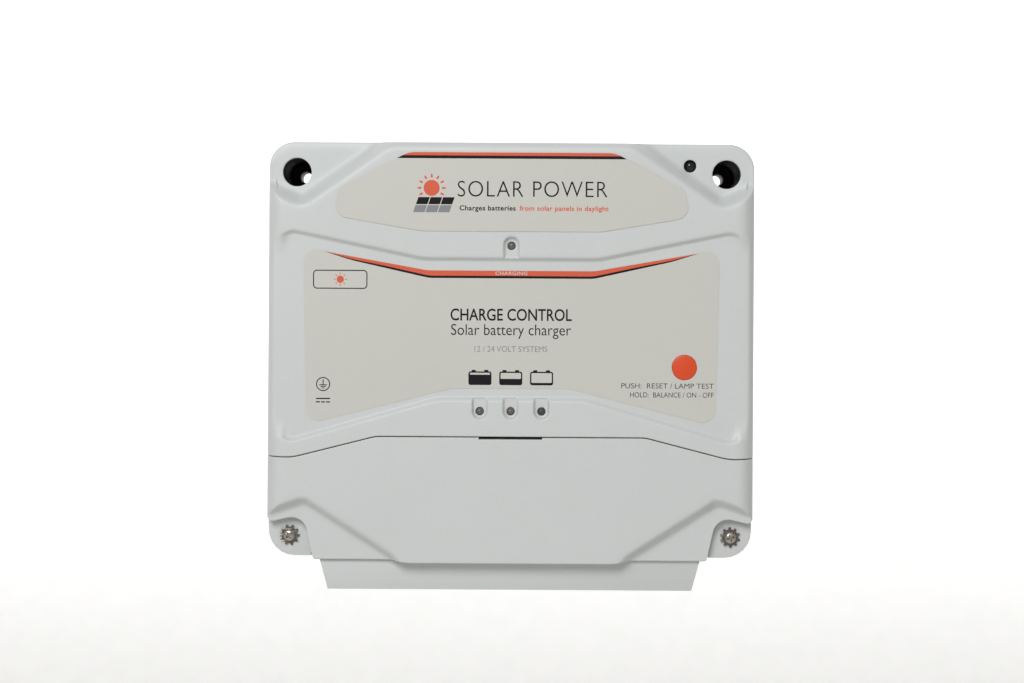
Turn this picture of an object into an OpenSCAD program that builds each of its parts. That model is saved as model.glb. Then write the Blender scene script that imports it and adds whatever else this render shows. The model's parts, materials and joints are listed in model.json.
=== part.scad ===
// Wall-mounted solar charge controller.
// X runs across the front, Z up the wall and Y into the wall; the wall plane is Y = 0.
// The origin is the centre of the four wall screws on the wall plane.
// Every "depth" below is a distance out from the wall, so it grows towards the front.

/* [Case] */
// Width of the case
case_w = 201; // [196:1:210]
// Height of the case's top edge above the wall screws' centre
top_z = 77.5; // [76:0.5:82]
// Height of the lower corner ears' bottom edge
ear_z = -94; // [-96:0.5:-93]
// Depth of the case from the wall to its front
case_d = 70; // [70:0.5:74]
// Wall thickness of the moulded shells
wall = 2.5; // [2:0.1:2.8]
// Radius of the case's corners, seen from the front
corner_r = 10.5; // [9:0.5:12]
// Radius of the long rounded front edges
edge_r = 8; // [6:0.5:9]

/* [Front relief] */
// Depth of the sunk field that holds the main label
field_drop = 2; // [1.5:0.1:2.5]
// Depth of the two sunk upper corners
ear_drop = 8; // [6:0.5:9]
// Depth of the sunk corners of the wiring cover
wing_drop = 5; // [4:0.5:5.5]
// Gap between the wiring cover and its neighbours
seam = 0.4; // [0.3:0.05:0.6]

/* [Wall mounting] */
// Distance between the wall screws across the case
mount_x = 178; // [177:0.5:179]
// Distance between the wall screws up the case
mount_z = 130; // [128:0.5:131]
// Radius of the wall screw holes
mount_r = 2.5; // [2:0.1:3]
// Radius of the screwdriver access bores
access_r = 5.95; // [5.5:0.05:6.2]

/* [Heat sink] */
// Height of the fins
fin_h = 20; // [16:1:20]
// Thickness of the heat sink's plate
plate_t = 6; // [6:0.5:8]
// Distance between fins
fin_pitch = 8; // [8:1:10]
// Thickness of a fin
fin_t = 2.4; // [1.8:0.1:2.4]

/* [Controls and lights] */
// Radius of the push button's cap
button_r = 5.15; // [4.5:0.05:5.5]
// Distance between the battery lights
led_pitch = 12.7; // [12:0.1:13]
// Radius of a light
led_r = 1.5; // [1.4:0.1:1.6]

/* [Terminals] */
// Number of power terminals
terminals = 6; // [4:1:6]
// Distance between power terminals
terminal_pitch = 15; // [15:0.5:15.5]

/* [Hidden] */
$fn = 48;
cut = 0.01;                        // how far a cutting shape runs past a face

half_w = case_w / 2;
plate_d = fin_h + plate_t;         // front of the heat sink's plate
seat_d = 18;                       // where a wall screw's head rests, at the bottom of its access bore
board_d = 34;                      // back of the power board
board_t = 1.6;
floor_d = 38;                      // back of the wiring tray's floor
floor_t = 2;
parting_d = 50;                    // front of the wiring tray's walls
cover_back = parting_d + 0.3;      // where the wiring cover's side walls end
ear_d = 60.5;                      // front of the lower corner ears
duct_d = 63;                       // front of the cable duct
wing_d = case_d - wing_drop;
field_d = case_d - field_drop;
recess_d = case_d - ear_drop;      // front of the upper corner ears
control_d = 59;                    // back of the control board
label_t = 0.3;
duct_z = -107.5;                   // mouth of the cable duct
seam_z = -43.8;                    // the seam at the middle of the case
cover_z = -96.1;                   // bottom edge of the wiring cover's raised panel
wing_z = -95.1;                    // bottom edge of its sunk corners
ear_screw = [91.4, -85.5];
cover_bosses = [[52, 68.5], [88, 12], [88, -40]];
boss_back = fin_h - 4;             // where the heads of the case's own screws rest
led_z = -33.4;
charge_led_z = 34.8;
button_at = [71.5, -14.9];
sensor_at = [73.8, 68.4];
button_travel = 0.8;                // how far the button goes in
button_gap = 0.25;
peg_at = [77.5, -57];
terminal_z = -66;                  // middle of a power terminal
terminal_w = 14.6;
terminal_h = 20;
terminal_top = 55;
entry_w = 9.5;                     // square wire entry
entry_d = 41;                      // back of the wire entry
entry_z = -62;                     // blind end of the wire entry
sense_x = -62;
sense_pitch = 3.5;
jack_x = 66.5;
dip_x = 53;
dip_z = -66;
dip_top = 42.6;
slider_pitch = 2.54;
boss_r = 4;
sleeve_r = 7;

plastic = [0.78, 0.79, 0.78];
label_grey = [0.76, 0.76, 0.72];
black_metal = [0.09, 0.09, 0.1];
steel = [0.72, 0.71, 0.7];
board_green = [0.05, 0.3, 0.14];

// ---- outlines -------------------------------------------------------------

function unit(v) = v / norm(v);
function flat(p) = [p[0], p[1]];

// One corner b of an outline, between its neighbours a and c, rounded to radius r.
function corner_arc(a, b, c, r, steps) =
    r <= 0 ? [b] :
    let (u = unit(a - b), w = unit(c - b), half = acos(u * w) / 2,
         centre = b + unit(u + w) * r / sin(half),
         from = b + u * r / tan(half) - centre,
         to = b + w * r / tan(half) - centre,
         start = atan2(from[1], from[0]),
         turn = (atan2(to[1], to[0]) - start + 540) % 360 - 180)
    [for (i = [0:steps]) centre + r * [cos(start + turn * i / steps), sin(start + turn * i / steps)]];

// An outline of [x, z, radius] corners with every corner rounded.
function rounded(corners, steps = 6) =
    let (n = len(corners))
    [for (i = [0:n - 1])
        each corner_arc(flat(corners[(i + n - 1) % n]), flat(corners[i]), flat(corners[(i + 1) % n]),
                        corners[i][2], steps)];

// The right half of an outline, from the bottom to the top, with its mirror image.
function both_sides(half) =
    concat(half, [for (i = [len(half) - 1:-1:0]) [-half[i][0], half[i][1], half[i][2]]]);

// The whole case seen from the front, drawn in by t.
function case_outline(t) =
    both_sides([[half_w - t, ear_z + t, corner_r - t], [half_w - t, top_z - t, corner_r - t]]);

// The seam between the top cover and the wiring cover, moved up by t.
function seam_line(t, side) = [[55.5, seam_z + t, 14], [90, seam_z - 8.8 + t, 24], [side, seam_z - 8.4 + t, 0]];

function top_cover_outline(t) =
    both_sides(concat(seam_line(t, half_w - t), [[half_w - t, top_z - t, corner_r - t]]));

// The upper right corner ear, grown by t.
function ear_outline(t) =
    [[46 - t * 1.2, top_z + 3, 0], [89.5, 54.5 - t, 7], [half_w + 3, 57.5 - t, 0], [half_w + 3, top_z + 3, 0]];

// The sunk field of the front, with its upper and lower ridges.
function field_outline(t) =
    both_sides([[30, -29.3 + t, 24], [91.5, -46.6 + t, 6], [half_w + 2, -36 + t, 0],
                [half_w + 2, 32 - t, 0], [91, 40.4 - t, 7], [36, 28.9 - t, 24]]);

function main_label_outline() =
    both_sides([[24, -24, 22], [84.4, -39.2, 5.5], [85.9, 34.2, 5.5], [36.5, 24.6, 22]]);

function upper_label_outline() =
    both_sides([[37, 40.7, 22], [73.8, 46.9, 5.5], [71, 58.2, 4], [42.5, 73.1, 12]]);

// The wiring cover, drawn in by t.
function wiring_cover_outline(t) =
    both_sides([[41, cover_z + t, 0], [46, wing_z + t, 0], [81.2 - t, wing_z + t, 1.5], [85.2 - t, -77.2 + t, 6],
                [half_w - t, -79.8 + t, 1.5], [half_w - t, seam_z - seam - 8.4 - t, 0],
                [90, seam_z - seam - 8.8 - t, 24], [55.5, seam_z - seam - t, 14]]);

// The wiring cover's raised panel.
function panel_outline(t) =
    both_sides([[42.6 - t / 2, cover_z - 3 + t, 25], [85.1 - t / 3, -70.2 + t, 8], [half_w + 2, -75.3 + t, 0],
                [half_w + 2, seam_z + 5, 0]]);

function duct_outline(t) = both_sides([[75 - t, duct_z - 1, 0], [79 - t, ear_z, 0], [79 - t, -92, 0]]);

// ---- building blocks ------------------------------------------------------

// Draws its flat children, seen from the front, from depth d0 out to depth d1.
module slab(d0, d1) {
    translate([0, -d0, 0]) rotate([90, 0, 0]) linear_extrude(d1 - d0) children();
}

module outline_slab(outline, d0, d1) {
    slab(d0, d1) polygon(rounded(outline));
}

// A round bar along the depth, at [x, z].
module bar(at, r, d0, d1) {
    translate([at[0], -d0, at[1]]) rotate([90, 0, 0]) cylinder(r = r, h = d1 - d0);
}

// A block given by its middle x and z, its size across and up, and its depths.
module block(x, z, w, h, d0, d1) {
    translate([x - w / 2, -d1, z - h / 2]) cube([w, d1 - d0, h]);
}

module left_and_right() {
    children();
    mirror([1, 0, 0]) children();
}

// The case's rounded front: round long edges at the sides and a softer one along the top.
module front_form(d0, d1, top_r) {
    intersection() {
        union() {
            translate([-half_w, edge_r - d1, -150]) cube([case_w, d1 - edge_r - d0, 300]);
            translate([edge_r - half_w, -d1, -150]) cube([case_w - 2 * edge_r, d1 - d0, 300]);
            left_and_right() translate([half_w - edge_r, edge_r - d1, -150]) cylinder(r = edge_r, h = 300);
        }
        union() {
            translate([-150, top_r - d1, -150]) cube([300, d1 - top_r - d0, 150 + top_z]);
            translate([-150, -d1, -150]) cube([300, d1 - d0, 150 + top_z - top_r]);
            translate([-150, top_r - d1, top_z - top_r]) rotate([0, 90, 0]) cylinder(r = top_r, h = 300);
        }
    }
}

// A pan-head screw whose head rests at depth d and whose shank runs to depth tip, which may be either way.
module pan_screw(at, r, head_r, head_h, d, tip) {
    out = d > tip ? 1 : -1;
    difference() {
        union() {
            bar(at, r, min(d, tip), max(d, tip));
            bar(at, head_r, min(d, d + out * head_h), max(d, d + out * head_h));
        }
        for (turn = [0, 90])
            translate([at[0], -(d + out * head_h), at[1]]) rotate([0, turn, 0])
                cube([head_r * 1.1, head_h, head_r * 0.25], center = true);
    }
}

// ---- back -----------------------------------------------------------------

module heat_sink() {
    fins = floor(72 / fin_pitch);
    color(black_metal) difference() {
        union() {
            outline_slab(case_outline(0.4), fin_h, plate_d);
            for (i = [-fins:fins])
                block(i * fin_pitch, -8, fin_t, 164, 0, fin_h + cut);
            for (x = [-96, -80, 80, 96])
                block(x, 0, fin_t, 104, 0, fin_h + cut);
            for (x = [-1, 1], z = [-1, 1])
                bar([x * mount_x / 2, z * mount_z / 2], 7.7, 0, fin_h + 1);
            left_and_right() {
                bar(ear_screw, boss_r, plate_d - 1, ear_d - wall);
                for (at = cover_bosses) bar(at, 3.4, boss_back, fin_h + 1);
            }
        }
        for (x = [-1, 1], z = [-1, 1]) {
            bar([x * mount_x / 2, z * mount_z / 2], mount_r, -cut, seat_d + cut);
            bar([x * mount_x / 2, z * mount_z / 2], access_r, seat_d, plate_d + cut);
        }
        left_and_right() {
            bar(ear_screw, 1.5, ear_d - 20, ear_d);
            for (at = cover_bosses) bar(at, 1.7, boss_back - cut, plate_d + cut);
        }
    }
}

// A tube that lines a wall screw's access bore; i counts from the upper left to the lower right.
module mount_sleeve(i) {
    at = [(i % 2 == 1 ? -1 : 1) * mount_x / 2, (i < 3 ? 1 : -1) * mount_z / 2];
    end = i < 3 ? recess_d - wall : floor_d;
    color(black_metal) difference() {
        bar(at, sleeve_r, plate_d, end);
        bar(at, access_r, plate_d - cut, end + cut);
    }
}

module cover_screws() {
    color(steel) left_and_right() for (at = cover_bosses)
        pan_screw(at, 1.4, 2.6, 2, boss_back, plate_d + 8);
}

// ---- front shells ---------------------------------------------------------

module ear_pair(t) {
    left_and_right() polygon(rounded(ear_outline(t)));
}

// The U-shaped pocket that a light sits in, open towards the sunk field.
module led_pocket(x, z, towards) {
    outline_slab([[x - 3.2, z - towards * 3.2, 3], [x + 3.2, z - towards * 3.2, 3],
                  [x + 3.2, z + towards * 8, 0], [x - 3.2, z + towards * 8, 0]], field_d, case_d + 1);
}

module top_cover() {
    color(plastic) difference() {
        intersection() {
            outline_slab(top_cover_outline(0), plate_d, case_d);
            front_form(plate_d, case_d, 4);
        }
        // inside, kept thick behind the corner ears, the sunk field and the divider by the wiring bay
        difference() {
            intersection() {
                outline_slab(top_cover_outline(wall), plate_d - cut, field_d - wall);
                front_form(plate_d - 1, field_d - wall, 4);
            }
            slab(recess_d - wall, case_d) ear_pair(wall);
            left_and_right() for (at = cover_bosses) bar(at, boss_r, plate_d, case_d);
        }
        // open below the divider, where the wiring tray's floor runs through
        slab(plate_d - cut, floor_d + floor_t + 0.2) difference() {
            polygon(rounded(top_cover_outline(-1)));
            translate([-half_w, seam_z + 0.1]) square([case_w, 200]);
            left_and_right() translate([half_w - wall, -60]) square([wall + 2, 100]);
        }
        // the divider stops short of the power board, which runs on under it
        block(0, seam_z + 1, 161, 5, plate_d - cut, board_d + board_t + 0.4);
        slab(recess_d, case_d + 1) ear_pair(0);
        outline_slab(field_outline(0), field_d, case_d + 1);
        led_pocket(0, charge_led_z, -1);
        for (i = [-1:1]) led_pocket(i * led_pitch, led_z, 1);
        outline_slab(main_label_outline(), field_d - label_t, case_d);
        outline_slab(upper_label_outline(), case_d - label_t, case_d + 1);
        bar([0, charge_led_z], led_r + 0.15, field_d - wall - 1, case_d);
        for (i = [-1:1]) bar([i * led_pitch, led_z], led_r + 0.15, field_d - wall - 1, case_d);
        bar(button_at, button_r + button_gap, field_d - wall - 1, case_d);
        bar(sensor_at, 2.65, recess_d - wall - 1, case_d);
        left_and_right() {
            bar([mount_x / 2, mount_z / 2], access_r, recess_d - wall - 1, case_d);
            // room for the screw's sleeve in the corner
            bar([mount_x / 2, mount_z / 2], sleeve_r + 0.1, plate_d - cut, recess_d - wall);
            for (at = cover_bosses) bar(at, 1.4, plate_d - cut, plate_d + 12);
        }
    }
}

module wiring_tray() {
    ear = [[82.4, ear_z, 0], [half_w - 0.4, ear_z, 11], [half_w - 0.4, -75.9, 0], [82.4, -75.9, 0]];
    color(plastic) difference() {
        union() {
            // floor of the wiring bay
            slab(floor_d, floor_d + floor_t) intersection() {
                polygon(rounded(case_outline(1.5)));
                polygon(rounded(wiring_cover_outline(-0.3)));
            }
            block(0, -86, 164, 18, floor_d, floor_d + floor_t);
            // walls round the space behind the floor and beside the bay
            difference() {
                intersection() {
                    outline_slab(case_outline(0), plate_d, parting_d);
                    translate([-half_w, -case_d, ear_z]) cube([case_w, case_d, -ear_z + seam_z - 8.6]);
                }
                outline_slab(case_outline(wall), plate_d - cut, parting_d + cut);
                block(0, ear_z, 158, 20, floor_d, parting_d + 1);
            }
            // corner ears
            left_and_right() difference() {
                outline_slab(ear, plate_d, ear_d);
                outline_slab([[84.9, ear_z + wall, 0], [half_w - 0.4 - wall, ear_z + wall, 8.5],
                              [half_w - 0.4 - wall, -78.1, 0], [84.9, -78.1, 0]], plate_d - cut, ear_d - wall);
            }
            // cable duct
            difference() {
                outline_slab(duct_outline(0), floor_d, duct_d);
                outline_slab(duct_outline(wall), floor_d + floor_t, duct_d - wall);
                block(0, duct_z - 5, case_w, 10, floor_d - 1, duct_d + 1);
            }
            // sockets for the wiring cover's pegs
            left_and_right() bar(peg_at, 4, floor_d, floor_d + 14);
        }
        left_and_right() {
            bar([mount_x / 2, -mount_z / 2], access_r, floor_d - 1, floor_d + floor_t + 1);
            bar(ear_screw, 1.9, ear_d - wall - 1, ear_d + 1);
            bar(peg_at, 2.15, floor_d + floor_t, floor_d + 15);
            // clear the heat sink's screw post behind the ear
            bar(ear_screw, boss_r + 0.15, plate_d - cut, ear_d - wall);
        }
        // windows for what stands on the power board
        block(0, terminal_z, terminals * terminal_pitch + 0.6, terminal_h + 0.8, floor_d - 1, floor_d + 3);
        block(sense_x, -67, 4 * sense_pitch + 1.8, 12.8, floor_d - 1, floor_d + 3);
        block(jack_x, -68, 14.2, 18.8, floor_d - 1, floor_d + 3);
        block(dip_x, dip_z, 12.8, 10.4, floor_d - 1, floor_d + 3);
    }
}

module wiring_cover() {
    skin = 2.2;
    color(plastic) {
        difference() {
            intersection() {
                outline_slab(wiring_cover_outline(0), cover_back, case_d);
                front_form(cover_back, case_d, 4);
            }
            // hollow, with the wall left standing round the edge
            difference() {
                intersection() {
                    outline_slab(wiring_cover_outline(skin), parting_d - cut, case_d - wall);
                    front_form(parting_d - 1, case_d - wall, 4);
                }
                // the floor of the sunk corners
                difference() {
                    slab(wing_d - skin, case_d) polygon(rounded(wiring_cover_outline(0)));
                    outline_slab(panel_outline(skin), wing_d - skin - 1, case_d + 1);
                }
            }
            // sunk corners
            difference() {
                slab(wing_d, case_d + 1) polygon(rounded(case_outline(-3)));
                outline_slab(panel_outline(0), wing_d - 1, case_d + 2);
            }
            // the lower edge stops short of the cable duct and the ears
            block(0, -97, 163, 18, parting_d - 1, duct_d + 0.3);
            left_and_right() outline_slab(
                [[79, -97, 0], [half_w + 1, -97, 0], [half_w + 1, -75.5, 0], [79, -75.5, 0]],
                parting_d - 1, ear_d + 0.3);
            // release slot at the top edge
            block(0, seam_z - seam, 26, 1.4, case_d - 4, case_d + 1);
        }
        // pegs that press into the tray
        left_and_right() bar(peg_at, 2, floor_d + 6, case_d - wall + cut);
    }
}

// ---- labels, button and lights --------------------------------------------

module upper_label() {
    color(label_grey) outline_slab(upper_label_outline(), case_d - label_t, case_d);
}

module main_label() {
    color(label_grey) difference() {
        outline_slab(main_label_outline(), field_d - label_t, field_d);
        bar(button_at, button_r + button_gap, field_d - 1, field_d + 1);
    }
}

module push_button() {
    back = field_d - wall - 1.3;
    stem = control_d + board_t + 2 + button_travel;
    front = field_d + 0.6;
    color([0.84, 0.29, 0.13]) translate([button_at[0], -stem, button_at[1]]) rotate([90, 0, 0]) rotate_extrude()
        polygon(concat([[0, 0], [2, 0], [2, back - stem], [button_r + 1.2, back - stem],
                        [button_r + 1.2, back - stem + 1], [button_r, back - stem + 1],
                        [button_r, front - stem - 0.6], [button_r - 0.2, front - stem - 0.35]],
                       [for (i = [4:-1:0]) [i * 1.15, front - stem - 0.32 * pow(i / 4.4, 2)]]));
}

module switch_plunger() {
    color("dimgray") bar(button_at, 1.6, control_d + board_t + 1, control_d + board_t + 2 + button_travel);
}

module button_switch() {
    top = control_d + board_t;
    color([0.15, 0.15, 0.16]) difference() {
        block(button_at[0], button_at[1], 6, 6, top, top + 1.5);
        bar(button_at, 1.7, top + 0.15, top + 2);
    }
}

// A 3 mm light standing on the control board.
module led(x, z, lens) {
    base = control_d + board_t;
    color(lens) difference() {
        union() {
            bar([x, z], led_r, base, field_d - 0.6);
            translate([x, -(field_d - 0.6), z]) sphere(r = led_r);
            bar([x, z], led_r + 0.4, base, base + 1);
        }
        bar([x, z], led_r + 1, base - 3, base);
    }
}

module ambient_sensor() {
    tip = recess_d - wall + 0.6;
    color([0.03, 0.03, 0.04]) {
        bar(sensor_at, 2.2, tip - 3.4, tip);
        translate([sensor_at[0], -tip, sensor_at[1]]) sphere(r = 2.2);
    }
    color(steel) for (x = [-1.27, 1.27])
        bar([sensor_at[0] + x, sensor_at[1]], 0.3, board_d + board_t, tip - 3.4 + cut);
}

// ---- boards and what stands on them ---------------------------------------

standoffs = [[74, 30], [74, -32]];
lower_posts = [[74, 56], [74, -32], [20, -38]];

module control_board() {
    color(board_green) difference() {
        block(0, 1, 160, 78, control_d, control_d + board_t);
        left_and_right() for (at = standoffs) bar(at, 1.6, control_d - 1, control_d + 3);
    }
}

module power_board() {
    color(board_green) difference() {
        slab(board_d, board_d + board_t) polygon(rounded(both_sides(
            [[78, -81, 1], [78, -44, 1], [79.5, -42, 1], [79.5, 74, 1]]), 3));
        left_and_right() {
            for (at = lower_posts) bar(at, 1.6, board_d - 1, board_d + 3);
            // a notch round the top cover's upper screw post
            block(cover_bosses[0][0], 70, 9.2, 12, board_d - 1, board_d + 3);
        }
    }
}

module hex_post(at, d0, d1) {
    color([0.75, 0.65, 0.35]) difference() {
        translate([at[0], -d0, at[1]]) rotate([90, 0, 0]) cylinder(r = 3.1, h = d1 - d0, $fn = 6);
        bar(at, 1.25, d0 - cut, d1 + cut);
    }
}

module lower_standoffs() {
    left_and_right() for (at = lower_posts) hex_post(at, plate_d, board_d);
}

module upper_standoffs() {
    left_and_right() for (at = standoffs) hex_post(at, board_d + board_t, control_d);
}

module board_screws() {
    color(steel) left_and_right() {
        for (at = standoffs) pan_screw(at, 1.2, 2.5, 1.8, control_d + board_t, control_d - 4);
        for (at = [lower_posts[0], lower_posts[2]])
            pan_screw(at, 1.2, 2.5, 1.8, board_d + board_t, board_d - 4);
    }
}

module board_connector() {
    color([0.1, 0.1, 0.1]) {
        block(-50, -26, 28, 5, board_d + board_t, board_d + board_t + 9);
        block(-50, -26, 28, 5, control_d - 8, control_d);
    }
    color(steel) for (i = [-4:4])
        block(-50 + i * 2.54, -26, 0.64, 0.64, board_d + board_t + 9, control_d - 8);
}

core_r = 14;
core_section = 5.3;
wire_r = 0.7;
core_d = board_d + board_t + 7.2;      // depth of a core's middle plane

module at_inductor(i) {
    translate([i == 1 ? -36 : 36, -core_d, 10]) rotate([90, 0, 0]) children();
}

module inductor_core(i) {
    color([0.25, 0.27, 0.2]) at_inductor(i) rotate_extrude() translate([core_r, 0]) circle(r = core_section);
}

module inductor_winding(i) {
    turns = 20;
    color([0.72, 0.4, 0.2]) at_inductor(i) for (k = [0:turns - 1])
        rotate([0, 0, k * 340 / turns]) translate([core_r, 0, 0]) rotate([90, 0, 0])
            rotate_extrude($fn = 32) translate([core_section + wire_r + 0.1, 0]) circle(r = wire_r, $fn = 16);
}

// An upright electrolytic can with a vent cross pressed in its end.
module can(x, z, r, h) {
    base = board_d + board_t;
    difference() {
        bar([x, z], r, base, base + h);
        for (turn = [0, 90])
            translate([x, -(base + h), z]) rotate([0, turn, 0]) cube([r * 1.2, 0.6, 0.5], center = true);
        translate([x, -(base + 3), z]) rotate([90, 0, 0]) rotate_extrude() translate([r, 0]) circle(r = 0.6, $fn = 16);
    }
}

module input_capacitors() {
    color([0.12, 0.12, 0.2]) for (x = [-64, -46, -28]) can(x, 46, 8, 20);
}

module output_capacitors() {
    color([0.12, 0.12, 0.2]) for (x = [28, 46, 64]) can(x, 46, 8, 20);
}

transistor_x = [-50, -30, -10, 10, 30, 50];
transistor_z = -14;

module power_transistors() {
    color([0.08, 0.08, 0.08]) for (x = transistor_x) {
        block(x, transistor_z, 10, 9, plate_d + 0.3, plate_d + 4.8);
        for (leg = [-2.54, 0, 2.54]) {
            block(x + leg, transistor_z - 6, 0.8, 3.2, plate_d + 2.5, plate_d + 3);
            block(x + leg, transistor_z - 7.3, 0.8, 0.6, plate_d + 3 - cut, board_d);
        }
    }
    color(steel) for (x = transistor_x) difference() {
        block(x, transistor_z + 7, 10, 5, plate_d + 0.3, plate_d + 1.6);
        bar([x, transistor_z + 7.2], 1.8, plate_d, plate_d + 2);
    }
}

module thermal_pads() {
    color([0.75, 0.72, 0.66]) for (x = transistor_x) difference() {
        block(x, transistor_z + 2.5, 12, 16, plate_d, plate_d + 0.3);
        bar([x, transistor_z + 7.2], 1.8, plate_d - 1, plate_d + 1);
    }
}

clip_x = [-40, 0, 40];

module transistor_clips() {
    color(steel) for (x = clip_x) difference() {
        union() {
            block(x, transistor_z, 24, 5, plate_d + 4.8, plate_d + 5.8);
            block(x, transistor_z, 7, 5, plate_d + 2, plate_d + 5.8);
        }
        bar([x, transistor_z], 1.5, plate_d, plate_d + 7);
    }
}

module clip_screws() {
    color(steel) for (x = clip_x) pan_screw([x, transistor_z], 1.4, 2.3, 1.4, plate_d + 5.8, plate_d);
}

// ---- wiring bay -----------------------------------------------------------

function terminal_x(i) = (i - (terminals + 1) / 2) * terminal_pitch;

// One clamp terminal: a body with a wire entry from below and a screw well in front.
module power_terminal(i) {
    x = terminal_x(i);
    color([0.13, 0.16, 0.15]) difference() {
        block(x, terminal_z, terminal_w, terminal_h, board_d + board_t, terminal_top);
        block(x, terminal_z - 4, entry_w, 2 * (entry_z - terminal_z + 4), entry_d, entry_d + entry_w);
        bar([x, terminal_z - 2], 3.4, entry_d + entry_w - cut, terminal_top + 1);
    }
}

module terminal_clamps() {
    color(steel) for (i = [1:terminals])
        block(terminal_x(i), terminal_z - 2, entry_w - 0.3, 11, entry_d + entry_w - 1.6, entry_d + entry_w - 0.1);
}

module terminal_screws() {
    top = terminal_top - 1;
    color(steel) for (i = [1:terminals]) difference() {
        bar([terminal_x(i), terminal_z - 2], 3.25, entry_d + entry_w - 0.1, top);
        block(terminal_x(i), terminal_z - 2, 7, 1, top - 1.4, top + 1);
    }
}

module sense_terminal() {
    color([0.1, 0.32, 0.2]) difference() {
        block(sense_x, -67, 4 * sense_pitch + 1, 12, board_d + board_t, 46);
        for (i = [-1.5:1.5]) {
            bar([sense_x + i * sense_pitch, -65.5], 1.4, 42, 47);
            block(sense_x + i * sense_pitch, -71, 2.2, 8, 37.6, 40.8);
        }
    }
}

module sense_screws() {
    color(steel) for (i = [-1.5:1.5]) difference() {
        bar([sense_x + i * sense_pitch, -65.5], 1.3, 42, 45.2);
        block(sense_x + i * sense_pitch, -65.5, 3, 0.5, 44.6, 46);
    }
}

// A six-way telephone jack that opens downwards.
module meter_port() {
    color([0.07, 0.07, 0.08]) difference() {
        block(jack_x, -68, 13.4, 18, board_d + board_t, 48);
        block(jack_x, -72, 9.8, 24, 38.4, 45);
        block(jack_x, -72, 6.2, 24, 44, 46.6);
    }
}

module meter_contacts() {
    color([0.8, 0.62, 0.25]) for (i = [-2.5:2.5])
        block(jack_x + i * 1.1, -67, 0.45, 9, 38.4, 38.9);
}

module settings_switch() {
    color([0.62, 0.1, 0.1]) difference() {
        block(dip_x, dip_z, 11.6, 9.6, board_d + board_t, dip_top);
        for (i = [1:4])
            block(slider_x(i), dip_z, 1.6, 3.4, dip_top - 1.6, dip_top + 1);
    }
}

function slider_x(i) = dip_x + (i - 2.5) * slider_pitch;

module switch_slider(i) {
    color("white") block(slider_x(i), dip_z - 0.9, 1.2, 1.2, dip_top - 1.35, dip_top + 0.6);
}

// ---- corner screws --------------------------------------------------------

module earth_screws() {
    color(steel) left_and_right() pan_screw(ear_screw, 1.4, 2.45, 2, ear_d + 0.7, ear_d - 14);
}

// A lock washer with teeth round its outside.
module star_washers() {
    teeth = 10;
    color(steel) left_and_right() difference() {
        union() {
            bar(ear_screw, 3.5, ear_d, ear_d + 0.7);
            for (k = [0:teeth - 1])
                translate([ear_screw[0], -ear_d - 0.35, ear_screw[1]]) rotate([0, k * 360 / teeth, 0])
                    translate([3.8, 0, 0]) cube([1.1, 0.7, 1], center = true);
        }
        bar(ear_screw, 1.8, ear_d - 1, ear_d + 1);
    }
}

heat_sink();
top_cover();
wiring_tray();
wiring_cover();
upper_label();
main_label();
mount_sleeve(1);  // mount_sleeve_1
mount_sleeve(2);  // mount_sleeve_2
mount_sleeve(3);  // mount_sleeve_3
mount_sleeve(4);  // mount_sleeve_4
push_button();
switch_plunger();
button_switch();
led(0, charge_led_z, [0.5, 0.46, 0.44]);  // charge_led
led(-led_pitch, led_z, [0.5, 0.46, 0.44]);  // battery_led_1
led(0, led_z, [0.5, 0.46, 0.44]);  // battery_led_2
led(led_pitch, led_z, [0.35, 0.33, 0.36]);  // battery_led_3
ambient_sensor();
control_board();
power_board();
lower_standoffs();
upper_standoffs();
board_screws();
board_connector();
inductor_core(1);  // inductor_core_1
inductor_core(2);  // inductor_core_2
inductor_winding(1);  // inductor_winding_1
inductor_winding(2);  // inductor_winding_2
input_capacitors();
output_capacitors();
power_transistors();
transistor_clips();
clip_screws();
thermal_pads();
for (i = [1:terminals])
    power_terminal(i);
terminal_clamps();
terminal_screws();
sense_terminal();
sense_screws();
meter_port();
meter_contacts();
settings_switch();
for (i = [1:4])
    switch_slider(i);
earth_screws();
star_washers();
cover_screws();
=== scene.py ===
import json
import math

import bpy
import bmesh
import numpy as np
from mathutils import Matrix, Vector
from mathutils.geometry import tessellate_polygon

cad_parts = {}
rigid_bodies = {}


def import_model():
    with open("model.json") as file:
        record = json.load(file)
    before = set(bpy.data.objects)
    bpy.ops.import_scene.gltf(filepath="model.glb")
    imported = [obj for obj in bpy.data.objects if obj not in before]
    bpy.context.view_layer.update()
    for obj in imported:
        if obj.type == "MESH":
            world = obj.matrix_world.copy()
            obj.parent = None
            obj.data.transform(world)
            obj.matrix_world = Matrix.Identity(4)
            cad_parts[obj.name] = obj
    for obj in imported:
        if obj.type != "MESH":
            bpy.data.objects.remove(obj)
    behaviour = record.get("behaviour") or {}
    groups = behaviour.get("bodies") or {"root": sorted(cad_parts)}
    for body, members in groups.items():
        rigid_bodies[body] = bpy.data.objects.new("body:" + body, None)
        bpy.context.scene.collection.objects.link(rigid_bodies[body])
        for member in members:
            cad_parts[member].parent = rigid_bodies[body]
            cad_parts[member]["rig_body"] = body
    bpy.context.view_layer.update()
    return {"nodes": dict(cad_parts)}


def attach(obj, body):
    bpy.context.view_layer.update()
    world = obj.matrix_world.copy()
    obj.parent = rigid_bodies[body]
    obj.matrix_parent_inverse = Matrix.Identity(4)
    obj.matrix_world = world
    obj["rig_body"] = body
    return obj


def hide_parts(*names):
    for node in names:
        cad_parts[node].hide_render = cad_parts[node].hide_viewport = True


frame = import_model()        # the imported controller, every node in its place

print("frame loaded:", len(frame["nodes"]), "nodes")
mm = 0.001


# colours and shader nodes

# sRGB hex to linear rgba, by the sRGB curve
def linearColour(hexText, alpha=1.0):
    parts = [int(hexText[i:i + 2], 16) / 255 for i in (0, 2, 4)]
    return tuple(c / 12.92 if c <= 0.04045 else ((c + 0.055) / 1.055) ** 2.4 for c in parts) + (alpha,)


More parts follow.
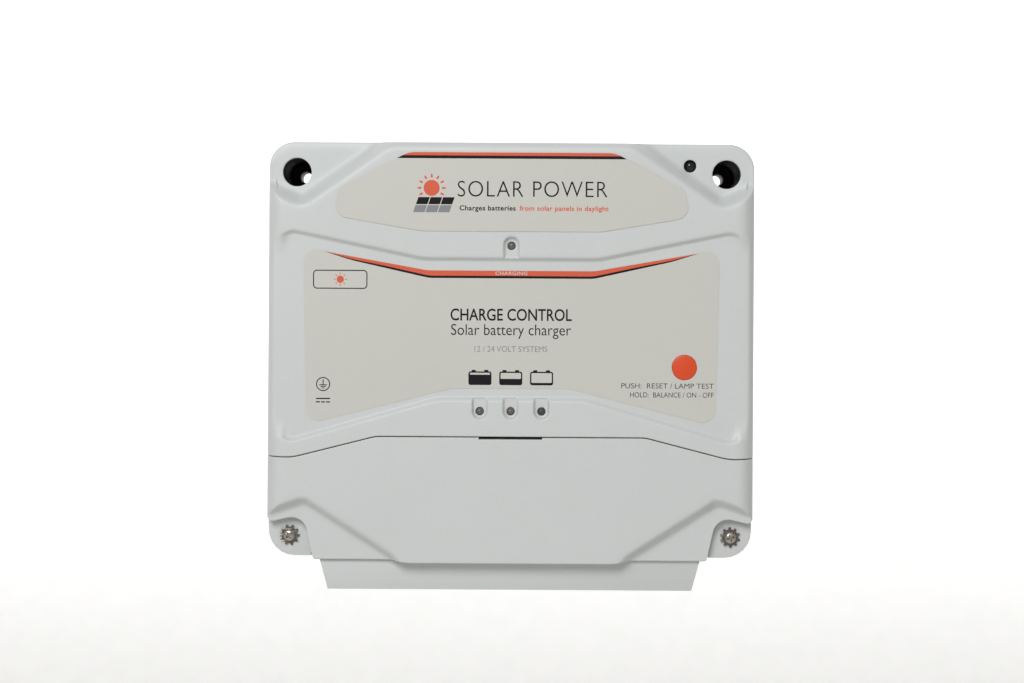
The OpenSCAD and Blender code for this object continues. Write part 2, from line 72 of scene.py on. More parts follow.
# one shader node with its settings and its incoming links, in one call
def addNode(tree, kind, settings=None, links=None, **attributes):
    node = tree.nodes.new(kind)
    for key, value in attributes.items():
        setattr(node, key, value)
    for key, value in (settings or {}).items():
        node.inputs[key].default_value = value
    for key, source in (links or {}).items():
        tree.links.new(source, node.inputs[key])
    return node


# One colour turned into another by a factor. Each of the three may be a value or another node's output.
# Sockets 0, 6 and 7 are the node's factor and its two colours, and output 2 is the mixed colour.
def mixColours(tree, factor, first, second, blend="MIX"):
    node = addNode(tree, "ShaderNodeMix", data_type="RGBA", blend_type=blend)
    for key, given in ((0, factor), (6, first), (7, second)):
        if isinstance(given, bpy.types.NodeSocket):
            tree.links.new(given, node.inputs[key])
        else:
            node.inputs[key].default_value = given
    return node.outputs[2]


# a colour ramp is a node with its stops filled in from (place, colour) pairs
def setStops(node, stops):
    ramp = node.color_ramp
    while len(ramp.elements) < len(stops):
        ramp.elements.new(0.5)
    for element, (place, colour) in zip(ramp.elements, stops):
        element.position = place
        element.color = colour
    return node


def startMaterial(name):
    material = bpy.data.materials.new(name)
    material.use_nodes = True
    tree = material.node_tree
    tree.nodes.clear()
    output = tree.nodes.new("ShaderNodeOutputMaterial")
    shader = tree.nodes.new("ShaderNodeBsdfPrincipled")
    tree.links.new(shader.outputs[0], output.inputs[0])
    place = addNode(tree, "ShaderNodeTexCoord")
    return material, tree, shader, place.outputs["Object"]


# A moulded or cast surface: cloudy colour, fine grain in bump, uneven gloss and lighter worn edges.
# grainMm is the size of one grain, cloudMm of one cloud of colour.
def mouldedMaterial(name, colour, darker, grainMm, grainDepth, cloudMm, roughness, speck, metallic=0.0, ior=1.5, wear=None):
    material, tree, shader, place = startMaterial(name)
    cloud = addNode(tree, "ShaderNodeTexNoise", {"Scale": 1000 / cloudMm, "Detail": 4.0, "Roughness": 0.6}, {"Vector": place})
    grain = addNode(tree, "ShaderNodeTexNoise", {"Scale": 1000 / grainMm, "Detail": 2.0, "Roughness": 0.5}, {"Vector": place})
    surface = mixColours(tree, cloud.outputs["Fac"], linearColour(colour), linearColour(darker))
    fine = addNode(tree, "ShaderNodeMapRange", {"From Min": 0.35, "From Max": 0.65, "To Min": 1 - speck, "To Max": 1 + speck},
                   {"Value": grain.outputs["Fac"]})
    surface = mixColours(tree, 1.0, surface, fine.outputs["Result"], "MULTIPLY")
    if wear:
        edge = addNode(tree, "ShaderNodeNewGeometry")
        rubbed = setStops(addNode(tree, "ShaderNodeValToRGB", None, {"Fac": edge.outputs["Pointiness"]}),
                          [(0.52, (0, 0, 0, 1)), (0.6, (1, 1, 1, 1))])
        surface = mixColours(tree, rubbed.outputs["Color"], surface, linearColour(wear))
    tree.links.new(surface, shader.inputs["Base Color"])
    gloss = addNode(tree, "ShaderNodeMapRange", {"To Min": roughness[0], "To Max": roughness[1]},
                    {"Value": cloud.outputs["Fac"]})
    tree.links.new(gloss.outputs["Result"], shader.inputs["Roughness"])
    bump = addNode(tree, "ShaderNodeBump", {"Strength": 1.0, "Distance": grainDepth * mm}, {"Height": grain.outputs["Fac"]})
    tree.links.new(bump.outputs["Normal"], shader.inputs["Normal"])
    shader.inputs["Metallic"].default_value = metallic
    if not metallic:
        shader.inputs["IOR"].default_value = ior
    return material


# Turned or rolled metal: fine lines stretched along one axis, over a slow change of gloss.
def drawnMetal(name, colour, darker, lineMm=0.25, roughness=(0.25, 0.38)):
    material, tree, shader, place = startMaterial(name)
    turned = addNode(tree, "ShaderNodeMapping", {"Scale": (1, 1, 12)}, {"Vector": place})
    lines = addNode(tree, "ShaderNodeTexNoise", {"Scale": 1000 / lineMm, "Detail": 3.0}, {"Vector": turned.outputs["Vector"]})
    cloud = addNode(tree, "ShaderNodeTexNoise", {"Scale": 400.0, "Detail": 3.0}, {"Vector": place})
    mixed = mixColours(tree, cloud.outputs["Fac"], linearColour(colour), linearColour(darker))
    gloss = addNode(tree, "ShaderNodeMapRange", {"To Min": roughness[0], "To Max": roughness[1]}, {"Value": lines.outputs["Fac"]})
    bump = addNode(tree, "ShaderNodeBump", {"Strength": 1.0, "Distance": 0.004 * mm}, {"Height": lines.outputs["Fac"]})
    tree.links.new(mixed, shader.inputs["Base Color"])
    tree.links.new(gloss.outputs["Result"], shader.inputs["Roughness"])
    tree.links.new(bump.outputs["Normal"], shader.inputs["Normal"])
    shader.inputs["Metallic"].default_value = 1.0
    return material


# A circuit board: green mask over copper tracks, a grid of lighter track lines broken up by noise.
def maskedBoard(name):
    material, tree, shader, place = startMaterial(name)
    cells = addNode(tree, "ShaderNodeTexVoronoi", {"Scale": 1000 / 6.0}, {"Vector": place},
                    feature="DISTANCE_TO_EDGE", distance="CHEBYCHEV")
    tracks = setStops(addNode(tree, "ShaderNodeValToRGB", None, {"Fac": cells.outputs["Distance"]}),
                      [(0.0, linearColour("1F7A45")), (0.09, linearColour("0F5A30"))])
    weave = addNode(tree, "ShaderNodeTexNoise", {"Scale": 1000 / 0.5, "Detail": 2.0}, {"Vector": place})
    bump = addNode(tree, "ShaderNodeBump", {"Strength": 1.0, "Distance": 0.01 * mm}, {"Height": weave.outputs["Fac"]})
    gloss = addNode(tree, "ShaderNodeMapRange", {"To Min": 0.25, "To Max": 0.4}, {"Value": weave.outputs["Fac"]})
    tree.links.new(tracks.outputs["Color"], shader.inputs["Base Color"])
    tree.links.new(bump.outputs["Normal"], shader.inputs["Normal"])
    tree.links.new(gloss.outputs["Result"], shader.inputs["Roughness"])
    shader.inputs["IOR"].default_value = 1.52
    return material


# Moulded and cast surfaces, one line each: name, the two colours of its clouds, grain size and depth in
# millimetres, cloud size in millimetres, roughness from and to, speckle, and what else it needs.
mouldings = {
    # moulded polycarbonate blend, spark-eroded tool: a fine even grain that softens the sheen
    "case": ("mouldedPolycarbonate", "CDD0CF", "C7CAC9", 0.5, 0.010, 35, (0.44, 0.52), 0.012, {"ior": 1.55}),
    # polyester film printed on its back: smooth, warm grey, a little glossier than the case
    "film": ("polyesterFilm", "CAC9C2", "C6C5BE", 0.4, 0.004, 60, (0.36, 0.42), 0.012, {"ior": 1.57}),
    # screen inks: matt, thin and slightly speckled
    "printOrange": ("screenInkOrange", "D85C3A", "D25436", 0.3, 0.003, 35, (0.42, 0.5), 0.04, {}),
    "printBlack": ("screenInkBlack", "1C171C", "161216", 0.3, 0.003, 35, (0.5, 0.58), 0.08, {"ior": 1.25}),
    "printGrey": ("screenInkGrey", "85878A", "7F8184", 0.3, 0.003, 35, (0.42, 0.5), 0.05, {}),
    # acetal cap, moulded in orange-red: semi-gloss with a slightly uneven colour
    "button": ("mouldedAcetalOrange", "DE5129", "D6481F", 0.25, 0.006, 35, (0.34, 0.42), 0.03, {"ior": 1.42}),
    # die-cast aluminium, black anodised: dull grey-black with paler rubbed edges
    "anodised": ("blackAnodisedCasting", "1D1C1D", "161516", 0.4, 0.03, 20, (0.42, 0.55), 0.1,
                 {"metallic": 0.6, "wear": "4A494A"}),
    # nylon tubes in the screw bores: dark, but light enough that a lit wall reads as grey
    "sleeveNylon": ("greyBlackNylon", "4C4745", "413C3A", 0.3, 0.02, 35, (0.4, 0.5), 0.1, {}),
    # connector and switch bodies: near black and dull
    "blackNylon": ("blackNylon", "1B1A1A", "141313", 0.3, 0.02, 35, (0.45, 0.58), 0.1, {}),
    # glass-filled nylon: near black with a speckle from the fibres
    "greyNylon": ("glassFilledNylon", "272C2A", "1E2321", 0.25, 0.015, 35, (0.4, 0.5), 0.15, {}),
    # small coloured mouldings: smoother than the case and more saturated
    "greenNylon": ("greenNylon", "1F7A4D", "1A6B43", 0.25, 0.01, 35, (0.35, 0.45), 0.06, {}),
    "redPlastic": ("redThermoplastic", "A8201F", "961B1B", 0.25, 0.008, 35, (0.3, 0.4), 0.05, {}),
    "whiteAcetal": ("whiteAcetal", "F1F0EC", "E8E7E2", 0.2, 0.006, 35, (0.3, 0.4), 0.02, {}),
    # iron powder core under an olive coating: uneven and slightly shiny
    "ferrite": ("coatedIronPowder", "4A5240", "3E4536", 0.3, 0.02, 35, (0.3, 0.45), 0.1, {}),
    # filled silicone sheet: chalky and dull
    "pad": ("filledSilicone", "C2BAAA", "B7AF9F", 0.4, 0.02, 35, (0.6, 0.75), 0.05, {}),
    # shrink sleeve on a capacitor: dark blue and glossy
    "sleeve": ("shrinkSleeve", "20223A", "191B30", 0.5, 0.004, 35, (0.2, 0.3), 0.04, {}),
    # moulded epoxy body of a transistor: matt black with a coarse speckle
    "epoxy": ("mouldedEpoxy", "1A1A1C", "131315", 0.2, 0.01, 35, (0.45, 0.6), 0.12, {}),
    # diffused epoxy over a die: a smoky grey dome with a bright glint
    "lens": ("smokyEpoxyLens", "6B6260", "5A5352", 0.4, 0.003, 2, (0.1, 0.2), 0.05, {"ior": 1.55}),
    "darkLens": ("darkEpoxyLens", "46434A", "38363D", 0.4, 0.003, 2, (0.1, 0.2), 0.05, {"ior": 1.55}),
    # black casting resin: almost a mirror, with a blue-grey glint
    "resin": ("blackCastingResin", "0B0C14", "07080D", 0.5, 0.002, 3, (0.05, 0.12), 0.1, {"ior": 1.55}),
}
materials = {key: mouldedMaterial(name, colour, darker, grain, depth, cloud, rough, speck=speck, **extra)
             for key, (name, colour, darker, grain, depth, cloud, rough, speck, extra) in mouldings.items()}
# plated and turned metals: fine lines that stretch the glint along the part
materials["nickel"] = drawnMetal("nickelPlatedSteel", "C9C3BA", "A9A39B")
materials["brass"] = drawnMetal("turnedBrass", "D6B25E", "B9954A")
materials["gold"] = drawnMetal("goldFlash", "E2B75A", "CFA24A", roughness=(0.18, 0.28))
materials["copper"] = drawnMetal("enamelledCopper", "C4703C", "A85A2C", roughness=(0.2, 0.3))
# spring steel, phosphated and oiled: brown-grey with bright bitten corners
materials["darkSteel"] = drawnMetal("phosphatedSpringSteel", "8A827C", "5E5752", lineMm=0.3, roughness=(0.3, 0.48))
materials["board"] = maskedBoard("solderMask")
print("materials made:", len(materials))


# outlines, as arrays of [x, z] points in millimetres

# every corner [x, z, radius] of an outline becomes an arc tangent to its two sides
def roundCorners(corners, steps=10):
    points = []
    count = len(corners)
    for i, (x, z, radius) in enumerate(corners):
        here = np.array([x, z], float)
        if radius == 0:
            points.append(here[None])
            continue
        before = np.array(corners[i - 1][:2], float) - here
        after = np.array(corners[(i + 1) % count][:2], float) - here
        before, after = before / np.linalg.norm(before), after / np.linalg.norm(after)
        half = math.acos(np.clip(before @ after, -1, 1)) / 2
        middle = (before + after) / np.linalg.norm(before + after)
        centre = here + middle * radius / math.sin(half)
        first = here + before * radius / math.tan(half) - centre
        last = here + after * radius / math.tan(half) - centre
        start = math.atan2(first[1], first[0])
        turn = (math.atan2(last[1], last[0]) - start + math.pi) % (2 * math.pi) - math.pi
        angle = start + turn * np.linspace(0, 1, steps + 1)
        points.append(centre + radius * np.stack([np.cos(angle), np.sin(angle)], 1))
    return np.concatenate(points)


# the right half of an outline with its mirror image
def bothSides(half):
    return list(half) + [(-x, z, radius) for x, z, radius in reversed(list(half))]


# distance from each point to an outline, negative inside: the nearest edge, signed by how often a ray crosses
def signedDistance(x, z, outline):
    best = np.full(x.shape, 1e9)
    inside = np.zeros(x.shape, bool)
    for (ax, az), (bx, bz) in zip(outline, np.roll(outline, -1, 0)):
        ex, ez = bx - ax, bz - az
        length = ex * ex + ez * ez
        if length < 1e-12:
            continue
        t = np.clip(((x - ax) * ex + (z - az) * ez) / length, 0, 1)
        best = np.minimum(best, (x - ax - t * ex) ** 2 + (z - az - t * ez) ** 2)
        crosses = ((az > z) != (bz > z)) & (x < ex * (z - az) / (ez if abs(ez) > 1e-12 else 1e-12) + ax)
        inside ^= crosses
    return np.where(inside, -1, 1) * np.sqrt(best)


# a slope from 0 to 1 over a width, its two bends rounded over about soft millimetres
def slope(distance, width, soft=0.35):
    def bend(d):
        return 0.5 * (d + np.sqrt(d * d + soft * soft))
    return (bend(distance) - bend(distance - width)) / width


# the smaller of two depths with the crease between them rounded
def softMin(a, b, soft=0.5):
    return 0.5 * (a + b - np.sqrt((a - b) ** 2 + soft * soft))


# how far a surface falls back near an edge rounded to a radius, as a quarter circle of the distance
def rounding(distance, radius):
    t = np.clip(radius - distance, 0, radius)
    return radius - np.sqrt(np.maximum(radius * radius - t * t, 0))


# mesh helpers

def finishPiece(obj, material, body, stands=()):
    obj.data.materials.clear()
    obj.data.materials.append(materials[material])
    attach(obj, body)
    if stands:
        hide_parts(*stands)
    return obj


def addObject(name, data):
    obj = bpy.data.objects.new(name, data)
    bpy.context.scene.collection.objects.link(obj)
    return obj


# an object's mesh with its modifiers applied, smooth but for creases sharper than an angle
def applyModifiers(obj, smoothAngle):
    graph = bpy.context.evaluated_depsgraph_get()
    final = bpy.data.meshes.new_from_object(obj.evaluated_get(graph))
    obj.modifiers.clear()
    obj.data = final
    final.shade_smooth()
    final.set_sharp_from_angle(angle=math.radians(smoothAngle))
    return obj


# edges sharper than an angle are rounded over a width in millimetres
def addBevel(obj, width, degrees):
    bevel = obj.modifiers.new("edges", "BEVEL")
    bevel.width = width * mm
    bevel.segments = 2
    bevel.limit_method = "ANGLE"
    bevel.angle_limit = math.radians(degrees)
    bevel.use_clamp_overlap = True


# a mesh's vertices as an array of [x, y, z]
def readPoints(mesh):
    points = np.zeros(len(mesh.vertices) * 3)
    mesh.vertices.foreach_get("co", points)
    return points.reshape(-1, 3)


# a mesh object from points in millimetres, given as x, depth out from the wall, z
def meshObject(name, x, depth, z, faces, smoothAngle=35):
    points = np.stack([np.ravel(x), -np.ravel(depth), np.ravel(z)], 1) * mm
    mesh = bpy.data.meshes.new(name)
    mesh.from_pydata(points.tolist(), [], faces if isinstance(faces, list) else faces.tolist())
    mesh.update()
    mesh.validate()
    work = bmesh.new()
    work.from_mesh(mesh)
    bmesh.ops.recalc_face_normals(work, faces=work.faces)
    work.to_mesh(mesh)
    work.free()
    mesh.shade_smooth()
    mesh.set_sharp_from_angle(angle=math.radians(smoothAngle))
    return addObject(name, mesh)


# A closed shell from one grid of outer points. The inner points are the same grid drawn in by the wall.
# Holes are cut where the grid falls inside a circle, and the ring of points round each is moved onto it.
# Every open edge gets a wall: straight to the inner grid at a hole, and by way of the rim at the outside.
def gridShell(name, x, depth, z, innerX, innerDepth, innerZ, rimDepth, holes=()):
    rows, columns = x.shape
    index = np.arange(rows * columns).reshape(rows, columns)
    faces = np.stack([index[:-1, :-1], index[:-1, 1:], index[1:, 1:], index[1:, :-1]], -1).reshape(-1, 4)
    x, depth, z, innerX, innerDepth, innerZ = (a.ravel().copy() for a in (x, depth, z, innerX, innerDepth, innerZ))
    keep = np.ones(len(faces), bool)
    for cx, cz, radius in holes:
        reach = np.hypot(x - cx, z - cz)
        inside = reach < radius
        some = inside[faces].any(1)
        every = inside[faces].all(1)
        ring = np.zeros(len(x), bool)
        ring[faces[some & ~every].ravel()] = True
        ring &= inside
        scale = radius / np.maximum(reach[ring], 1e-6)
        x[ring], z[ring] = cx + (x[ring] - cx) * scale, cz + (z[ring] - cz) * scale
        innerX[ring], innerZ[ring] = x[ring], z[ring]
        depth[ring] -= 0.12
        inside[ring] = True
        keep &= ~inside[faces].all(1)
    faces = faces[keep]
    total = len(x)
    edges = np.concatenate([faces[:, [0, 1]], faces[:, [1, 2]], faces[:, [2, 3]], faces[:, [3, 0]]])
    key = np.sort(edges, 1)
    _, first, counts = np.unique(key[:, 0] * total + key[:, 1], return_index=True, return_counts=True)
    border = edges[first[counts == 1]]
    row, column = np.divmod(np.arange(total), columns)
    rim = (row == 0) | (row == rows - 1) | (column == 0) | (column == columns - 1)
    atRim = rim[border].all(1)
    hole = border[~atRim]
    outside = border[atRim]
    rimIndex = np.full(total, -1)
    rimPoints = np.unique(outside)
    rimIndex[rimPoints] = np.arange(len(rimPoints))
    count = len(rimPoints)
    back = rimDepth.ravel()[rimPoints]
    a, b = outside[:, 0], outside[:, 1]
    ra, rb = rimIndex[a] + 2 * total, rimIndex[b] + 2 * total
    walls = [np.stack([b, a, ra, rb], 1), np.stack([rb, ra, ra + count, rb + count], 1),
             np.stack([rb + count, ra + count, a + total, b + total], 1),
             np.stack([hole[:, 1], hole[:, 0], hole[:, 0] + total, hole[:, 1] + total], 1)]
    allFaces = np.concatenate([faces, faces[:, ::-1] + total] + walls)
    xs = np.concatenate([x, innerX, x[rimPoints], innerX[rimPoints]])
    zs = np.concatenate([z, innerZ, z[rimPoints], innerZ[rimPoints]])
    depths = np.concatenate([depth, innerDepth, np.minimum(back, depth[rimPoints] - 0.1),
                             np.minimum(back, innerDepth[rimPoints] - 0.05)])
    return meshObject(name, xs, depths, zs, allFaces, 55)


# a flat plate from closed outlines (the first is its edge, the rest are holes) between two depths
def flatPlate(name, outlines, back, front):
    loops = [np.asarray(o, float) for o in outlines]
    points = np.concatenate(loops)
    total = len(points)
    # tessellation works in its own plane and gives indices into the joined list
    triangles = np.array(tessellate_polygon([[Vector((p[0], p[1], 0)) for p in loop] for loop in loops]))
    a, b, c = (points[triangles[:, i]] for i in range(3))
    turn = (b[:, 0] - a[:, 0]) * (c[:, 1] - a[:, 1]) - (b[:, 1] - a[:, 1]) * (c[:, 0] - a[:, 0])
    triangles[turn < 0] = triangles[turn < 0][:, ::-1]
    faces = triangles.tolist() + (triangles[:, ::-1] + total).tolist()
    start = 0
    for i, loop in enumerate(loops):
        n = len(loop)
        area = np.sum(loop[:, 0] * np.roll(loop[:, 1], -1) - np.roll(loop[:, 0], -1) * loop[:, 1])
        here = np.arange(n) + start
        after = np.roll(here, -1)
        outward = (area > 0) == (i == 0)
        near, far = (after, here) if outward else (here, after)
        side = np.stack([near, far, far + total, near + total], 1)
        faces += side.tolist()
        start += n
    x = np.concatenate([points[:, 0], points[:, 0]])
    z = np.concatenate([points[:, 1], points[:, 1]])
    depth = np.concatenate([np.full(total, front), np.full(total, back)])
    return meshObject(name, x, depth, z, faces)


# a turned shape: a profile of [radius, depth] points carried round an axis that runs along the depth
def turnedShape(name, centre, profile, sides=48, smoothAngle=35):
    profile = np.asarray(profile, float)
    angle = np.linspace(0, 2 * math.pi, sides, endpoint=False)
    x = centre[0] + profile[:, 0][:, None] * np.cos(angle)[None]
    z = centre[1] + profile[:, 0][:, None] * np.sin(angle)[None]
    depth = np.repeat(profile[:, 1][:, None], sides, 1)
    index = np.arange(len(profile) * sides).reshape(len(profile), sides)
    after = np.roll(index, -1, 1)
    faces = np.stack([index[:-1], index[1:], after[1:], after[:-1]], -1).reshape(-1, 4).tolist()
    faces.append(index[0].tolist())
    faces.append(index[-1][::-1].tolist())
    return meshObject(name, x, depth, z, faces, smoothAngle)


# a copy of a CAD node's mesh with its doubles merged, flat regions made whole and its edges rounded a little
def softenedNode(name, node, width):
    mesh = frame["nodes"][node].data.copy()
    work = bmesh.new()
    work.from_mesh(mesh)
    bmesh.ops.remove_doubles(work, verts=work.verts, dist=1e-6)
    bmesh.ops.dissolve_limit(work, angle_limit=math.radians(0.5), verts=work.verts, edges=work.edges)
    work.to_mesh(mesh)
    work.free()
    mesh.name = name
    obj = addObject(name, mesh)
    addBevel(obj, width, 40)
    return applyModifiers(obj, 32)


# the case, all in millimetres; depth is measured out from the wall

case = {"halfWidth": 100.5, "top": 77.5, "bottom": -94.0, "cornerRadius": 10.5, "front": 69.85, "field": 67.85,
        "ear": 61.95, "sideRadius": 8.0, "topRadius": 4.0, "wall": 2.5, "back": 26.0, "trayFloor": 40.2,
        "trayHalf": 98, "seamGap": 0.4}


# height of the case's top edge over x: a straight edge that turns down through the corner's arc
def topEdge(x, inset=0.0):
    radius = case["cornerRadius"] - inset
    over = np.clip(np.abs(x) - (case["halfWidth"] - case["cornerRadius"]), 0, radius)
    return case["top"] - case["cornerRadius"] + np.sqrt(np.maximum(radius * radius - over * over, 0))


seamPath = roundCorners([(-30, -43.8, 0), (55.5, -43.8, 14), (90, -52.6, 24), (100.6, -52.2, 0)])[:-1]
seamPath = np.concatenate([[(0, -43.8)], seamPath[seamPath[:, 0] > 0], [(101, -52.2)]])


# height of the seam over x, from its rounded path
def seamHeight(x):
    return np.interp(np.abs(x), seamPath[:, 0], seamPath[:, 1])


fieldOutline = roundCorners(bothSides([(30, -29.1, 24), (91.7, -47.0, 6), (103, -36, 0),
                                       (103, 33, 0), (91.2, 41.4, 7), (36, 30.0, 24)]))
earOutline = roundCorners([(38, 82, 0), (47.2, 77.7, 16), (86.5, 50.2, 8), (105, 58.0, 0), (105, 90, 0), (38, 90, 0)])
panelOutline = roundCorners(bothSides([(42.6, -99.0, 0), (43.5, -95.4, 20), (85.05, -68.8, 7), (105, -76.0, 0), (105, -30, 0)]))
ledPlaces = [(-12.7, -33.4), (0.0, -33.4), (12.7, -33.4)]
chargePlace = (0.0, 34.8)
buttonPlace = (71.5, -14.9)
sensorPlace = (73.8, 68.4)
screwPlaces = [(-89.0, 65.0), (89.0, 65.0)]


# distance to a U-shaped pocket: a circle joined to a strip that runs a little way up or down from it
def pocketDistance(x, z, place, radius, towards, reach=6.0):
    circle = np.hypot(x - place[0], z - place[1]) - radius
    along = (z - place[1]) * towards
    strip = np.maximum(np.abs(x - place[0]) - radius, np.abs(along - reach / 2) - reach / 2)
    return np.minimum(circle, strip)


# depth of the rounded long edge at each side: a quarter circle over x
def sideRoll(x):
    over = np.clip(np.abs(x) - (case["halfWidth"] - case["sideRadius"]), 0, case["sideRadius"])
    return case["front"] - case["sideRadius"] + np.sqrt(np.maximum(case["sideRadius"] ** 2 - over ** 2, 0))


# depth of the top cover's face: the front plane less its sunk field, light pockets and ears, then the rolled edges
def topCoverDepth(x, z):
    field = slope(-signedDistance(x, z, fieldOutline), 1.5, 0.3)
    for place in ledPlaces:
        field = np.maximum(field, slope(-pocketDistance(x, z, place, 3.25, 1), 0.6, 0.12))
    field = np.maximum(field, slope(-pocketDistance(x, z, (chargePlace[0], 35.3), 3.3, -1), 0.6, 0.12))
    ear = slope(-signedDistance(np.abs(x), z, earOutline), 4.6, 0.9)
    face = case["front"] - (case["front"] - case["field"]) * field - (case["front"] - case["ear"]) * ear
    depth = softMin(face, sideRoll(x) + 0.25, 0.5)
    depth = depth - rounding(topEdge(x) - z, case["topRadius"]) * np.clip(1 - 1.4 * ear, 0.22, 1)
    nearSide = case["halfWidth"] - np.abs(x)
    return depth - rounding(nearSide, 1.0) * np.clip(ear, 0, 1) - rounding(z - seamHeight(x), 0.35)


# sample places across the case: close together where the shape turns, and bunched where it rolls over
def caseColumns(fine, fineStep, middle, middleStep, outerStep):
    start = case["halfWidth"] - case["sideRadius"]
    half = np.concatenate([np.arange(0, fine, fineStep), np.arange(fine, middle, middleStep), np.arange(middle, start, outerStep),
                           start + case["sideRadius"] * np.sin(np.linspace(0, math.pi / 2, 16))])
    return np.concatenate([-half[:0:-1], half])


# rows between two curves over x, evenly or bunched
def band(low, high, count, bunched=False):
    t = np.linspace(0, 1, count, endpoint=False)
    t = np.sin(t * math.pi / 2) if bunched else t
    return low[None] + (high - low)[None] * t[:, None]


# The inner points lie a wall's thickness in. The inset dies away over twice that from the edge.
def drawnIn(distance, wall):
    return np.where(distance < 2 * wall, wall + distance / 2, distance)


def buildTopCover():
    columns = caseColumns(17, 0.4, 40, 1.6, 0.78)
    low, high = seamHeight(columns), topEdge(columns)
    lower = np.interp(np.abs(columns), [0, 22, 28.3, 35.1, 41.9, 91, 100.5], [-29.1, -29.1, -29.4, -30.7, -32.6, -46.6, -46.8])
    upper = np.interp(np.abs(columns), [0, 28.8, 38.8, 45, 91, 100.5], [30.0, 30.0, 30.5, 32.0, 41.0, 41.2])
    rows = np.concatenate([band(low, low + 0.4, 2), band(low + 0.4, lower, 32), band(lower, lower + 2.4, 9),
                           band(lower + 2.4, upper - 2.4, 22), band(upper - 2.4, upper, 9), band(upper, upper + 9, 18),
                           band(upper + 9, high - 4, 48), band(high - 4, high, 12, True), high[None]])
    x = np.repeat(columns[None], len(rows), 0)
    z = rows
    depth = topCoverDepth(x, z)
    side = case["halfWidth"] - np.abs(x)
    wall = case["wall"]
    innerX = np.sign(x) * (case["halfWidth"] - drawnIn(side, wall))
    share = (z - low[None]) / (high - low)[None]
    lowIn, highIn = seamHeight(innerX), topEdge(innerX)
    fromLow, fromHigh = share * (highIn - lowIn), (1 - share) * (highIn - lowIn)
    innerZ = np.where(share < 0.5, lowIn + drawnIn(fromLow, wall), highIn - drawnIn(fromHigh, wall))
    innerDepth = depth - wall
    rim = np.full(x.shape, case["back"])
    rim[0] = np.where(np.abs(columns) < case["trayHalf"], case["trayFloor"], case["back"])
    holes = [(px, pz, 5.95) for px, pz in screwPlaces] + [(*sensorPlace, 2.65), (*buttonPlace, 5.28), (*chargePlace, 1.72)]
    holes += [(px, pz, 1.72) for px, pz in ledPlaces]
    obj = gridShell("topCoverShell", x, depth, z, innerX, innerDepth, innerZ, rim, holes)
    finishPiece(obj, "case", "case", stands=("top_cover",))
    print("top cover:", len(obj.data.polygons), "faces")


# the wiring cover; its lower rim ends in front of the cable duct in the middle and of the ears beside it
lid = {"front": 69.85, "wing": 64.95, "wall": 2.2, "back": 50.3, "slotHalf": 13.1, "slotHeight": 0.75,
       "ductHalf": 80.5, "ductRim": 63.3, "earHalf": 99.9, "earRim": 60.8}
lidPath = roundCorners([(-60, -96.1, 0), (44.0, -96.1, 30), (48.5, -95.1, 12), (81.35, -95.1, 1.2),
                        (85.3, -76.6, 6.5), (99.7, -79.9, 1.5), (100.5, -70, 0)], 8)
lidPath = np.concatenate([[(0, -96.1)], lidPath[(lidPath[:, 0] > 1)][:-1]])


# height of the wiring cover's lower edge over x
def lidBottom(x):
    return np.interp(np.abs(x), lidPath[:, 0], lidPath[:, 1])


def lidTop(x):
    slot = np.where(np.abs(x) < lid["slotHalf"], lid["slotHeight"], 0)
    return seamHeight(x) - case["seamGap"] - slot


# depth of the wiring cover's face: the raised panel, its slope down to the sunk corners, and the rolled edges
def lidDepth(x, z):
    drop = (lid["front"] - lid["wing"]) * slope(signedDistance(x, z, panelOutline), 2.7, 0.7)
    depth = softMin(lid["front"] - drop, sideRoll(x) + 0.25, 0.5)
    return depth - rounding(lidTop(x) - z, 0.35) - rounding(z - lidBottom(x), 0.5)


def buildLid():
    columns = caseColumns(30, 1.5, 78, 0.75, 0.45)
    slot = lid["slotHalf"]
    columns = np.unique(np.round(np.concatenate([columns, [-slot - 0.02, -slot + 0.02, slot - 0.02, slot + 0.02]]), 4))
    low, high = lidBottom(columns), lidTop(columns)
    rows = np.concatenate([band(low, low + 0.5, 4, True), band(low + 0.5, high - 0.4, 74), band(high - 0.4, high, 3), high[None]])
    x = np.repeat(columns[None], len(rows), 0)
    depth = lidDepth(x, rows)
    innerX = np.sign(x) * (case["halfWidth"] - drawnIn(case["halfWidth"] - np.abs(x), lid["wall"]))
    share = (rows - low[None]) / (high - low)[None]
    lowIn, highIn = lidBottom(innerX), lidTop(innerX)
    innerZ = np.where(share < 0.5, lowIn + drawnIn(share * (highIn - lowIn), lid["wall"]),
                      highIn - drawnIn((1 - share) * (highIn - lowIn), lid["wall"]))
    innerDepth = depth - lid["wall"]
    rim = np.full(x.shape, lid["back"])
    wide = np.abs(columns)
    rim[0] = np.where(wide < lid["ductHalf"], lid["ductRim"], np.where(wide < lid["earHalf"], lid["earRim"], lid["back"]))
    obj = gridShell("wiringCoverShell", x, depth, rows, innerX, innerDepth, innerZ, rim)
    pegs = [turnedShape(f"coverPeg{i}", (px, -57.0), [(0, 44.2), (1.6, 44.2), (1.95, 44.8), (1.95, 67.2), (0, 67.2)], 32)
            for i, px in enumerate((-77.5, 77.5))]
    for peg in pegs:
        finishPiece(peg, "case", "cover")
    finishPiece(obj, "case", "cover", stands=("wiring_cover",))
    print("wiring cover:", len(obj.data.polygons), "faces")


buildTopCover()
buildLid()


# printed films

film = {"upper": (69.80, 69.97), "main": (67.80, 67.97), "ink": 0.02, "sink": 0.005, "buttonHole": 5.24}
upperOutline = roundCorners(bothSides([(37, 40.7, 22), (73.8, 46.9, 5.5), (71, 58.2, 4), (42.5, 73.1, 12)]))
mainOutline = roundCorners(bothSides([(24, -24, 22), (84.4, -39.2, 5.5), (85.9, 34.2, 5.5), (36.5, 24.6, 22)]))


def circleOutline(place, radius, sides=48):
    angle = np.linspace(0, 2 * math.pi, sides, endpoint=False)
    return np.stack([place[0] + radius * np.cos(angle), place[1] + radius * np.sin(angle)], 1)


